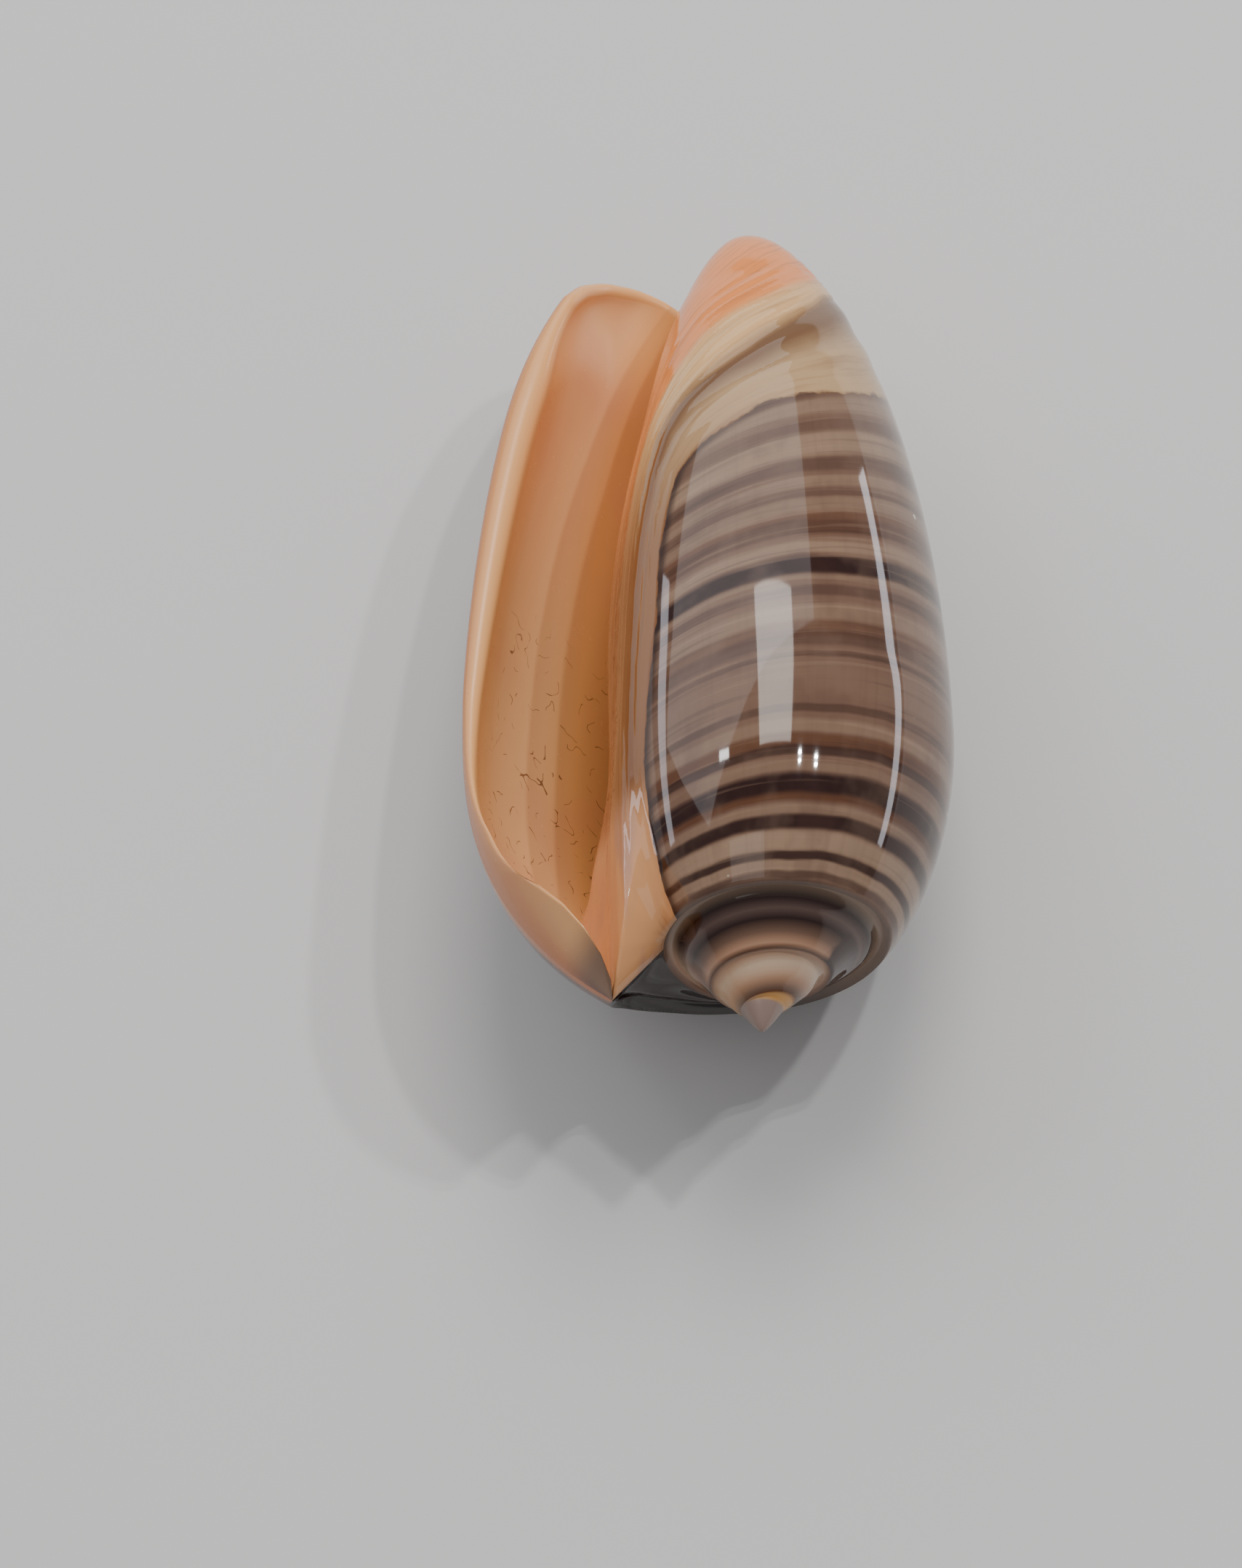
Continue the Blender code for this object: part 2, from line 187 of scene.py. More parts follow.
def crowd(u):
    return np.where(u < SHOULDER_SHARE, SHOULDER_REACH * u / SHOULDER_SHARE,
                    SHOULDER_REACH + (1 - SHOULDER_REACH) * (u - SHOULDER_SHARE) / (1 - SHOULDER_SHARE))


def lobe(turn, u):
    fade = np.clip(1 - turn / CAVITY_TURN, 0, 1) ** 2
    return turn + LOBE_TURN * smooth(0.80, 1.0, u) ** 1.6 * fade


def body(turn, u):
    turn = lobe(turn, u)
    open_front = turn < CAVITY_TURN
    end_r = np.where(open_front, margin_r(turn), foot_r(turn))
    end_y = np.where(open_front, margin_y(turn), foot_y(turn))
    mid, front, rear = aged(WIDEST, turn), aged(FRONT, turn), rear_length(turn)
    w = crowd(u)
    last = np.arcsin(np.clip((end_y - mid) / (front - mid), 0, 0.999))
    back = mix(suture_y(turn), mid, np.clip(w / MID_SHARE, 0, 1))
    ahead = np.clip((w - MID_SHARE) / (1 - MID_SHARE), 0, 1)
    fore = mid + (end_y - mid) * np.sin(last * ahead) / np.sin(last)
    y = np.where(w < MID_SHARE, back, fore)
    r = outline_radius(turn, y, rear)
    r = r + (end_r - outline_radius(turn, end_y, rear)) * smooth(0.72, 1.0, w)
    return r, y, turn


def body_normal(turn, u, step=1e-3):
    r1, y1, _ = body(turn, np.clip(u - step, 0, 1))
    r2, y2, _ = body(turn, np.clip(u + step, 0, 1))
    length = np.hypot(r2 - r1, y2 - y1) + 1e-12
    return (y2 - y1) / length, (r1 - r2) / length

# %% [markdown]
# ## Mouth, canal and callus
# The mouth is the gap between the outer wall and the whorl before it. Its wall is thick at the
# lip and thins to nothing at the suture, which leaves the small rear canal. The far side of the
# gap is the callus, a glaze laid over the older whorl. Deep inside, the two faces run together.

# %% Inner faces
CLOSING_TURN = 120.0
LIP_WALL, WALL, WALL_REACH = 1.7, 1.25, 70.0
MARGIN_SHARE = 0.50
CANAL_TURN, CANAL_THIN, CANAL_SLIDE = 48.0, 3.0, 12.0
PAD_TURN, PAD_END, PAD_HOLD, PAD_SWELL = 326.0, 18.0, 0.40, 0.25
PAD_BACK, INSIDE_END, SHOULDER_Y, FOOT_REACH = 30.0, 15.0, 4.2, 9.0


def inner_base(turn, v):
    near = (1 - smooth(0, CANAL_TURN, turn)) + 0.0 * v
    rest = 1 - np.clip(v, 0, 1)
    u = mix(SHOULDER_SHARE, 1.0, v) - SHOULDER_SHARE * near * rest ** CANAL_SLIDE
    r, y, placed = body(turn, u)
    nr, ny = body_normal(turn, u)
    t = mix(LIP_WALL, WALL, smooth(0, WALL_REACH, turn)) * (1 - near * rest ** CANAL_THIN)
    t = t * mix(1.0, MARGIN_SHARE, smooth(0.75, 1.0, v))
    t = t * (1 - smooth(140, CAVITY_TURN, turn) * smooth(0.8, 1.0, v))
    return r - nr * t, y - ny * t, placed


def parietal(turn, v):
    rc, yc, _ = inner_base(turn, np.zeros(np.shape(turn)))
    rf, yf = foot_r(turn), foot_y(turn)
    y = mix(yc, yf, v)
    rear = aged(WIDEST, turn + 360.0) - SHOULDER_Y
    deep = smooth(0, PAD_BACK, turn)
    along = np.clip((y - yc) / (mix(PAD_END, INSIDE_END, deep) - yc), 0, 1)
    k = mix(smooth(PAD_HOLD, 1, along), smooth(0, 1, along), deep)
    swell = PAD_SWELL * (1 - deep) * np.sin(math.pi * along)
    r = mix(rc + swell, outline_radius(turn + 360.0, y, rear), k)
    r = r + (rf - outline_radius(turn + 360.0, yf, rear)) * smooth(yf - FOOT_REACH, yf, y)
    return r, y


def inner(turn, v):
    r, y, placed = inner_base(turn, v)
    rp, yp = parietal(turn, v)
    k = np.clip((turn - CLOSING_TURN) / (CAVITY_TURN - CLOSING_TURN), 0, 1) ** 2
    return mix(r, rp, k), mix(y, yp, k), placed


def outer(turn, u):
    r, y, placed = body(turn, u)
    q = np.clip(1 - u / SHOULDER_SHARE, 0, 1)
    v = np.clip((u - SHOULDER_SHARE) / (1 - SHOULDER_SHARE), 0, 1)
    rs, ys = strip(0.0 * u, q)
    rp, yp = parietal(0.0 * u, v)
    rp, yp = np.where(u < SHOULDER_SHARE, rs, rp), np.where(u < SHOULDER_SHARE, ys, yp)
    near, far = smooth(SHOULDER_SHARE, 0.0, u), smooth(0.8, 1.0, u)
    rp = rp + (suture_r(turn) - suture_r(360.0)) * near + (foot_r(turn) - foot_r(360.0)) * far
    yp = yp + (suture_y(turn) - suture_y(360.0)) * near + (foot_y(turn) - foot_y(360.0)) * far
    k = smooth(PAD_TURN, 360, turn)
    return mix(r, rp, k), mix(y, yp, k), placed


def tip(turn, w):
    h = (1 - w) ** TIP_CROWD
    return foot_r(turn) * h ** TIP_POWER, TIP_Y - (TIP_Y - foot_y(turn)) * h

# %% [markdown]
# ## Growth marks as curves on the whorl
# The coloured edges near the front follow old positions of the front notch: each is one curve
# over turn and length. A point's place among those curves is worked out once, in millimetres on
# the unrolled whorl, and kept as a value on the mesh, so a shader can colour between them.

# %% Field between the growth curves
CURVES = (
    ((0, 41.2), (30, 40.0), (90, 38.4), (150, 36.4), (199, 34.3), (237, 31.9), (256, 31.1),
     (271, 30.2), (285, 29.2), (297, 28.2), (306, 27.0), (310, 25.0), (312.5, 22.5), (314, 18.9),
     (319, 15.0), (325, 11.7), (329, 7.5), (331, 4.5), (333, 0.0)),
    ((0, 43.4), (90, 43.0), (150, 42.4), (190, 41.6), (222, 39.8), (234, 38.5), (262, 35.8),
     (276, 34.4), (290, 33.2), (308, 31.7), (318, 30.1), (322, 27.9), (325, 25.0), (328, 21.6),
     (332, 16.0), (337, 10.0), (341, 5.0), (344, 0.0)),
    ((0, 44.2), (150, 43.6), (190, 42.6), (215, 41.4), (235, 40.4), (260, 38.8), (283, 37.4),
     (301, 36.0), (317, 34.0), (328, 31.8), (335, 29.1), (339, 25.8), (343, 20.0), (347, 14.0),
     (351, 8.0), (354, 0.0)),
    ((0, 44.9), (150, 44.2), (190, 43.4), (215, 42.6), (235, 41.8), (260, 40.4), (283, 39.0),
     (301, 37.9), (317, 36.2), (330, 33.8), (339, 31.0), (345, 27.0), (351, 20.0), (356, 14.0),
     (361, 8.0), (364, 0.0)),
)
UNROLL_TURN = 330.0


def signed_distance(curve, turn, y, r):
    # positive on the front side of the curve
    arc = math.pi / 180.0
    px, py = (turn - UNROLL_TURN) * arc * r, y
    best = np.full(np.shape(px), 1e9)
    side = np.ones(np.shape(px))
    for (t0, y0), (t1, y1) in zip(curve[:-1], curve[1:]):
        ax, bx = (t0 - UNROLL_TURN) * arc * r, (t1 - UNROLL_TURN) * arc * r
        dx, dy = bx - ax, y1 - y0
        k = np.clip(((px - ax) * dx + (py - y0) * dy) / (dx * dx + dy * dy), 0, 1)
        ex, ey = px - ax - k * dx, py - y0 - k * dy
        d = np.hypot(ex, ey)
        s = np.where(dx * (py - y0) - dy * (px - ax) >= 0, 1.0, -1.0)
        side = np.where(d < best, s, side)
        best = np.minimum(d, best)
    return best * side


def front_field(turn, y, r):
    # below 0 on the body, 0 at the first curve, 1 at the second and so on, in mm outside them
    r = np.maximum(r, 3.0)
    d = [signed_distance(c, turn, y, r) for c in CURVES]
    value = d[0]
    for i in range(3):
        between = i + d[i] / np.maximum(d[i] - d[i + 1], 1e-6)
        value = np.where(d[i] > 0, np.minimum(between, i + 1.0), value)
    return np.where(d[3] > 0, 3.0 + d[3] * 0.5, value)

# %% [markdown]
# ## Charts
# A chart is a flat grid whose points know their radius, length and turn, but aren't in place yet.
# One chart each makes the outside, the spire, the callus, the inner face, the rounded lip edge
# and the pillar's tip. They could be placed by hand, but a node tree coils all of them by one
# rule, and the same numbers then serve the shading.

# %% Chart maker
POINT_VALUES = ("radius", "length", "turn")
SHADE_VALUES = ("age", "place", "front", "zone")
LENGTH_SHADE = "length_shade"
# zone: 0 outside, 1 spire, 2 callus, 3 inner face, 4 lip edge
charts = []


def at(r, y, turn):
    angle = np.radians(LIP_ANGLE - turn)
    return np.stack([r * np.sin(angle), y + 0.0 * angle, r * np.cos(angle)], -1)


def add_chart(r, y, turn, age, place, front, zone, facing):
    # the corners' order is turned round where needed, so that the faces look the way given
    full = np.broadcast_arrays(r, y, turn, age, place, front, zone * np.ones(np.shape(r)))
    p = at(*full[:3])
    normal = np.cross(p[1:, :-1] - p[:-1, :-1], p[:-1, 1:] - p[:-1, :-1])
    wanted = {
        "out": p * [1, 0, 1],
        "in": p * [-1, 0, -1],
        "rear": np.array([0, -1.0, 0]) + 0 * p,
        "ahead": at(1.0, 0.0, full[2] - 90.0)}[facing][:-1, :-1]
    flip = (normal * wanted).sum() < 0
    charts.append((full, flip))
    print(facing, "chart", full[0].shape, "turned round" if flip else "as laid")


BANDS_END, BANDS_END_SLIP, WHOLE_LENGTH = 44.9, 0.055, 45.0


def body_place(turn, y):
    # 0 at the suture, 1 where the front bands begin
    turn = np.minimum(turn, 360)
    return (y - suture_y(turn)) / (BANDS_END - BANDS_END_SLIP * turn - suture_y(turn))


TURN_STEP = 2.0
SHOULDER_ROWS, BODY_ROWS, RIM_ROWS, TIP_ROWS = 14, 84, 8, 14
us = np.concatenate([np.linspace(0, SHOULDER_SHARE, SHOULDER_ROWS + 1),
                     np.linspace(SHOULDER_SHARE, 1, BODY_ROWS + 1)[1:]])
vs = (us[SHOULDER_ROWS:] - SHOULDER_SHARE) / (1 - SHOULDER_SHARE)
qs = (1 - us[:SHOULDER_ROWS + 1] / SHOULDER_SHARE)[::-1]
turns = np.arange(0, 360 + TURN_STEP / 2, TURN_STEP)
back = np.arange(0, CAVITY_TURN + TURN_STEP / 2, TURN_STEP)

grid_t, grid_u = np.meshgrid(turns, us, indexing="ij")
r, y, placed = outer(grid_t, grid_u)
add_chart(r, y, placed, placed, body_place(placed, y), front_field(placed, y, r), 0, "out")

# %% Spire, callus and inner face
SPIRE_TURN, CAP_ROWS, CAP_POWER = 1080.0, 8, 1.3
NO_FRONT = -9.0
spire = np.arange(0, SPIRE_TURN + TURN_STEP / 2, TURN_STEP)
grid_t, grid_q = np.meshgrid(spire, qs, indexing="ij")
r, y = strip(grid_t, grid_q)
add_chart(r, y, grid_t, grid_t, grid_q, NO_FRONT + 0 * r, 1, "rear")

oldest = np.arange(SPIRE_TURN, SPIRE_TURN + 360 + TURN_STEP / 2, TURN_STEP)
grid_t, grid_f = np.meshgrid(oldest, np.linspace(1, 0, CAP_ROWS + 2), indexing="ij")
cap_r, cap_y = suture_r(grid_t) * grid_f, suture_y(grid_t) * grid_f ** CAP_POWER
add_chart(cap_r, cap_y, grid_t, grid_t, 1 - grid_f, NO_FRONT + 0 * grid_f, 1, "rear")

grid_t, grid_v = np.meshgrid(back, vs, indexing="ij")
r, y = parietal(grid_t, grid_v)
add_chart(r, y, grid_t, grid_t + 360, y / WHOLE_LENGTH, front_field(grid_t + 360, y, r), 2, "out")
r, y, placed = inner(grid_t, grid_v)
add_chart(r, y, placed, placed, y / WHOLE_LENGTH, 0 * r, 3, "in")

# %% [markdown]
# The lip is finished with a round edge. It is a half circle between the outer and the inner face
# at each place along the edge, so it stays round where the wall is thick and where it is thin.

# %% Rounded edge and pillar tip


def edge_points():
    z, step_back = 0.0 * us, back[1:]
    one = 0.0 * step_back + 1.0
    v = np.clip((us - SHOULDER_SHARE) / (1 - SHOULDER_SHARE), 0, 1)
    outs = np.concatenate([at(*outer(z, us)), at(*outer(step_back, one))])
    ins = np.concatenate([at(*inner(z, v)), at(*inner(step_back, one))])
    uu, tt = np.concatenate([us, one]), np.concatenate([z, step_back])
    nr, ny = body_normal(tt, np.clip(uu, 0.01, 0.995))
    normal = at(nr, ny, lobe(tt, uu))
    ahead = np.cross(np.gradient((outs + ins) / 2, axis=0), normal)
    ahead /= np.linalg.norm(ahead, axis=-1, keepdims=True) + 1e-12
    k = np.linspace(0, math.pi, RIM_ROWS + 1)[None, :, None]
    half = (outs - ins) / 2
    bulge = np.linalg.norm(half, axis=-1, keepdims=True)[:, None]
    round_edge = half[:, None] * np.cos(k) + ahead[:, None] * bulge * np.sin(k)
    return (outs + ins)[:, None] / 2 + round_edge, tt


def back_to_chart(points, near):
    # radius, length and turn of a placed point, with the turn kept near a known one
    turn = LIP_ANGLE - np.degrees(np.arctan2(points[..., 0], points[..., 2]))
    turn = turn + 360.0 * np.round((near - turn) / 360.0)
    return np.hypot(points[..., 0], points[..., 2]), points[..., 1], turn


points, near = edge_points()
r, y, turn = back_to_chart(points, near[:, None] + 0 * points[..., 0])
across = np.linspace(0, 1, RIM_ROWS + 1)[None, :] + 0 * r
add_chart(r, y, turn, turn, across, 0 * r, 4, "ahead")

grid_t, grid_w = np.meshgrid(turns, np.linspace(0, 1, TIP_ROWS + 1), indexing="ij")
r, y = tip(grid_t, grid_w)
shifted = at(r, y, grid_t) + np.array([TIP_SHIFT, 0, 0]) * grid_w[..., None]
r2, y2, t2 = back_to_chart(shifted, grid_t)
r2 = np.where(grid_w == 0, r, r2)
t2 = np.where(grid_w == 0, grid_t, t2)
tip_front = front_field(grid_t, y, np.maximum(r, 2.0))
add_chart(r2, y2, t2, grid_t, y / WHOLE_LENGTH, tip_front, 0, "out")

# %% Charts into one flat mesh
APART = 1e-7


def add_values(mesh, name, domain, pieces):
    values = np.concatenate(pieces).astype(np.float32)
    mesh.attributes.new(name, "FLOAT", domain).data.foreach_set("value", values)


def chart_mesh():
    points, shades = {n: [] for n in POINT_VALUES}, {n: [] for n in SHADE_VALUES}
    faces, start = [], 0
    for full, flip in charts:
        rows, cols = full[0].shape
        for name, values in zip(POINT_VALUES, full[:3]):
            points[name].append(values.ravel())
        index = np.arange(rows * cols).reshape(rows, cols)
        quads = np.stack([index[:-1, :-1], index[1:, :-1], index[1:, 1:], index[:-1, 1:]], -1)
        quads = quads.reshape(-1, 4)
        quads = quads[:, ::-1] if flip else quads
        for name, values in zip(SHADE_VALUES, full[3:]):
            shades[name].append(values.ravel()[quads].ravel())
        faces.append(quads + start)
        start += rows * cols
    faces = np.concatenate(faces)
    # a tiny step between points keeps them apart while the charts are flat
    flat = np.stack([np.concatenate(points["turn"]) * MM, np.concatenate(points["length"]) * MM,
                     np.arange(start) * APART], -1)
    mesh = bpy.data.meshes.new("shell_charts")
    mesh.from_pydata(flat.tolist(), [], faces.tolist())
    for name in POINT_VALUES:
        add_values(mesh, name, "POINT", points[name])
    add_values(mesh, LENGTH_SHADE, "POINT", points["length"])
    for name in SHADE_VALUES:
        add_values(mesh, name, "CORNER", shades[name])
    mesh.update()
    return mesh


charts_object = bpy.data.objects.new("shell_charts", chart_mesh())
bpy.context.scene.collection.objects.link(charts_object)
print("chart faces", len(charts_object.data.polygons))

# %% [markdown]
# ## Coiling the charts with a node tree
# The tree turns radius, length and turn into a place in space, welds the charts where they meet,
# and adds the low relief that real growth leaves: faint growth lines across the whorl, and the
# oblique folds on the pillar that an olive is known by. The relief runs along the same values as
# the form, which a texture laid on afterwards could only imitate.

# %% Node tree helpers


class Tree:
    # short calls for a node tree: each call adds one node and returns the output asked for
    def __init__(self, tree):
        self.tree = tree

    def node(self, kind, settings=None, inputs=None, out=0):
        n = self.tree.nodes.new(kind)
        for key, value in (settings or {}).items():
            setattr(n, key, value)
        for key, value in (inputs or {}).items():
            self.feed(n.inputs[key], value)
        return n.outputs[out]

    def feed(self, socket, value):
        if isinstance(value, bpy.types.NodeSocket):
            self.tree.links.new(value, socket)
        elif value is not None:
            socket.default_value = value

    def math(self, operation, a, b=None):
        inputs = {i: v for i, v in enumerate((a, b)) if v is not None}
        return self.node("ShaderNodeMath", {"operation": operation}, inputs)

    def range(self, value, low, high, to_low=0.0, to_high=1.0):
        return self.node("ShaderNodeMapRange", {"interpolation_type": "SMOOTHSTEP"}, {
            "Value": value, "From Min": low, "From Max": high, "To Min": to_low, "To Max": to_high})


def add_socket(tree, name, kind, default=None, out=False):
    way = "OUTPUT" if out else "INPUT"
    socket = tree.interface.new_socket(name=name, in_out=way, socket_type=kind)
    if default is not None:
        socket.default_value = default
    return socket

# %% Tree that coils the charts
LIE_DEG = -4.5
FLAT_DEPTH = 0.26
coil = bpy.data.node_groups.new("coil_the_shell", "GeometryNodeTree")
add_socket(coil, "Charts", "NodeSocketGeometry")
add_socket(coil, "Lip angle", "NodeSocketFloat", LIP_ANGLE)
add_socket(coil, "Lie angle", "NodeSocketFloat", LIE_DEG)
add_socket(coil, "Stand", "NodeSocketVector")
add_socket(coil, "Size", "NodeSocketFloat", MM)
add_socket(coil, "Weld", "NodeSocketFloat", 2.0e-6)
add_socket(coil, "Growth line height", "NodeSocketFloat", 0.012)
add_socket(coil, "Growth line spacing", "NodeSocketFloat", 2.4)
add_socket(coil, "Fold height", "NodeSocketFloat", 0.045)
add_socket(coil, "Folds in a band", "NodeSocketFloat", 2.6)
add_socket(coil, "Seed", "NodeSocketFloat", 3.0)
add_socket(coil, "Finish", "NodeSocketMaterial")
add_socket(coil, "Shell", "NodeSocketGeometry", out=True)

g = Tree(coil)
group_in = coil.nodes.new("NodeGroupInput")
say = {s.name: s for s in group_in.outputs}


def named(name):
    return g.node("GeometryNodeInputNamedAttribute", {"data_type": "FLOAT"}, {"Name": name})


radius, length, turn_back = named("radius"), named("length"), named("turn")
angle = g.math("RADIANS", g.math("SUBTRACT", say["Lip angle"], turn_back))
across = g.math("MULTIPLY", radius, g.math("SINE", angle))
upward = g.math("MULTIPLY", radius, g.math("COSINE", angle))
spot = g.node("ShaderNodeCombineXYZ", {}, {"X": across, "Y": length, "Z": upward})
in_metres = g.node("ShaderNodeVectorMath", {"operation": "SCALE"}, {0: spot, "Scale": say["Size"]})
coiled = g.node("GeometryNodeSetPosition", {}, {"Geometry": say["Charts"], "Position": in_metres})
welded = g.node("GeometryNodeMergeByDistance", {}, {"Geometry": coiled, "Distance": say["Weld"]})

# growth lines: a soft noise along the turn only
line_at = g.math("DIVIDE", turn_back, say["Growth line spacing"])
drift = g.math("ADD", g.math("MULTIPLY", length, 0.02), say["Seed"])
line_place = g.node("ShaderNodeCombineXYZ", {}, {"X": line_at, "Y": drift})
lines = g.node("ShaderNodeTexNoise", {"noise_dimensions": "2D"}, {
    "Vector": line_place, "Scale": 1.0, "Detail": 3.0, "Roughness": 0.6})
line_lift = g.math("MULTIPLY", g.math("SUBTRACT", lines, 0.5), say["Growth line height"])
# folds: fine ridges that follow the front bands
front = named("front")
fold_phase = g.math("MULTIPLY", g.math("MULTIPLY", front, say["Folds in a band"]), 2 * math.pi)
fold_mask = g.math("MULTIPLY", g.range(front, 0.05, 0.6), g.range(front, 3.9, 2.9))
fold_mask = g.math("MULTIPLY", fold_mask, g.range(named("zone"), 2.6, 2.2))
folds = g.math("MULTIPLY", g.math("SINE", fold_phase), fold_mask)
fold_lift = g.math("MULTIPLY", folds, say["Fold height"])
lift = g.math("MULTIPLY", g.math("ADD", line_lift, fold_lift), say["Size"])
out_way = g.node("GeometryNodeInputNormal")
relief = g.node("ShaderNodeVectorMath", {"operation": "SCALE"}, {0: out_way, "Scale": lift})
raised = g.node("GeometryNodeSetPosition", {}, {"Geometry": welded, "Offset": relief})

# lay the shell down and stand it on the floor
lie_turn = g.node("ShaderNodeCombineXYZ", {}, {"X": g.math("RADIANS", say["Lie angle"])})
tilted = g.node("GeometryNodeTransform", {}, {"Geometry": raised, "Rotation": lie_turn})
stood = g.node("GeometryNodeTransform", {}, {"Geometry": tilted, "Translation": say["Stand"]})
above = g.node("GeometryNodeInputPosition")
split = g.node("ShaderNodeSeparateXYZ", {}, {0: above}).node.outputs
on_floor = g.node("ShaderNodeCombineXYZ", {}, {
    "X": split[0], "Y": split[1], "Z": g.math("MAXIMUM", split[2], 0.0)})
flattened = g.node("GeometryNodeSetPosition", {}, {"Geometry": stood, "Position": on_floor})
rounded = g.node("GeometryNodeSetShadeSmooth", {}, {"Geometry": flattened, "Shade Smooth": True})
whole = g.node("GeometryNodeRealizeInstances", {}, {0: rounded})
finished = g.node("GeometryNodeSetMaterial", {}, {"Geometry": whole, "Material": say["Finish"]})
group_out = coil.nodes.new("NodeGroupOutput")
g.feed(group_out.inputs["Shell"], finished)
print("coil tree nodes", len(coil.nodes))

# %% [markdown]
# ## Colour as bands of glaze
# The shell's markings are pigment laid down along the growing edge, so each colour keeps to its
# own place between the suture and the front and draws out into a spiral band. A short list of
# bands over that place gives the pattern, and noise that is stretched along the turn gives the
# fine threads. Short ramps colour the front bands, the spire and the inner face.

# %% Palette and shader helpers


def paint(*colour):
    # screen colour, 0 to 255, as linear light
    shares = [c / 255 for c in colour]
    light = [c / 12.92 if c <= 0.04045 else ((c + 0.055) / 1.055) ** 2.4 for c in shares]
    return (*light, 1.0)


class Shader(Tree):
    def value(self, name):
        settings = {"attribute_type": "GEOMETRY", "attribute_name": name}
        return self.node("ShaderNodeAttribute", settings, {}, "Fac")

    def ramp(self, factor, stops):
        out = self.node("ShaderNodeValToRGB", {}, {"Fac": factor}, "Color")
        bar = out.node.color_ramp
        bar.elements[0].position, bar.elements[0].color = stops[0][0], paint(*stops[0][1])
        bar.elements[1].position, bar.elements[1].color = stops[-1][0], paint(*stops[-1][1])
        for where, colour in stops[1:-1]:
            bar.elements.new(where).color = paint(*colour)
        return out

    def blend(self, factor, a, b):
        n = self.tree.nodes.new("ShaderNodeMix")
        n.data_type = "RGBA"
        self.feed(n.inputs[0], factor)
        self.feed(n.inputs[6], a)
        self.feed(n.inputs[7], b)
        return n.outputs[2]

    def bands(self, at, rows):
        # strength of the strongest of several soft-edged bands
        strongest = 0.0
        for middle, half, strength in rows:
            off = self.math("ABSOLUTE", self.math("SUBTRACT", at, middle))
            band = self.range(off, 1.4 * half, 0.6 * half, 0.0, strength)
            strongest = self.math("MAXIMUM", strongest, band)
        return strongest

    def noise(self, vector, scale=1.0, detail=2.0, rough=0.5, kind="3D"):
        return self.node("ShaderNodeTexNoise", {"noise_dimensions": kind}, {
            "Vector": vector, "Scale": scale, "Detail": detail, "Roughness": rough})

    def drawn_out(self, x, x_scale, y, y_scale, detail, rough):
        # noise on two values of the surface, stretched along the one with the small scale
        spot = self.vector(self.math("MULTIPLY", x, x_scale), self.math("MULTIPLY", y, y_scale))
        return self.noise(spot, 1.0, detail, rough, "2D")

    def tint(self, under, mask, strength, colour):
        # a paint laid over what is under it, where the mask is 1
        if strength != 1.0:
            mask = self.math("MULTIPLY", mask, strength)
        return self.blend(mask, under, paint(*colour))

    def vector(self, x, y):
        return self.node("ShaderNodeCombineXYZ", {}, {"X": x, "Y": y})


glaze = bpy.data.materials.new("shell_glaze")
glaze.use_nodes = True
skin = glaze.node_tree.nodes["Principled BSDF"]
m = Shader(glaze.node_tree)
age, place, front_at, zone = (m.value(n) for n in SHADE_VALUES)
length_at = m.value(LENGTH_SHADE)
solid_place = m.node("ShaderNodeTexCoord", {}, {}, "Object")
print("palette ready")

# %% [markdown]
# ### Bands of the last whorl
# The whorl is taupe. Dark spiral bands crowd near the shoulder and a double one crosses the
# middle, with paler bands between them and rust where a dark band fades out. Each band is one
# row: its middle, half its width and its strength. The place is wobbled a little along the turn,
# so no band is ruled with a compass.

# %% Body colour
wobble = m.drawn_out(age, 0.035, place, 3.0, 2.0, 0.5)
band_at = m.math("ADD", place, m.math("MULTIPLY", m.math("SUBTRACT", wobble, 0.5), 0.014))
TAUPE, CREAM, DARK, RUST = (112, 84, 68), (148, 121, 99), (40, 16, 12), (90, 54, 32)
PALE_BANDS = (
    (0.030, 0.009, 0.8), (0.070, 0.016, 1.0), (0.122, 0.009, 0.4), (0.196, 0.008, 0.3),
    (0.272, 0.012, 0.4), (0.355, 0.030, 0.1), (0.500, 0.020, 0.4), (0.578, 0.007, 0.4),
    (0.644, 0.012, 0.7), (0.742, 0.016, 0.4), (0.796, 0.012, 0.5), (0.884, 0.028, 0.8),
    (0.978, 0.020, 0.6))
RUST_BANDS = ((0.148, 0.012, 0.9), (0.243, 0.014, 0.8), (0.465, 0.018, 0.5), (0.700, 0.026, 0.6))
DARK_BANDS = (
    (0.016, 0.006, 0.40), (0.046, 0.007, 0.85), (0.101, 0.012, 0.95), (0.167, 0.018, 1.00),
    (0.226, 0.009, 0.75), (0.305, 0.008, 0.50), (0.412, 0.006, 0.35), (0.445, 0.016, 0.45),
    (0.548, 0.012, 0.45), (0.604, 0.020, 1.00), (0.690, 0.016, 0.35), (0.770, 0.009, 0.30),
    (0.836, 0.016, 0.40), (0.928, 0.016, 0.30))
body_colour = m.blend(m.bands(band_at, PALE_BANDS), paint(*TAUPE), paint(*CREAM))
body_colour = m.tint(body_colour, m.bands(band_at, RUST_BANDS), 1.0, RUST)
body_colour = m.tint(body_colour, m.bands(band_at, DARK_BANDS), 1.0, DARK)

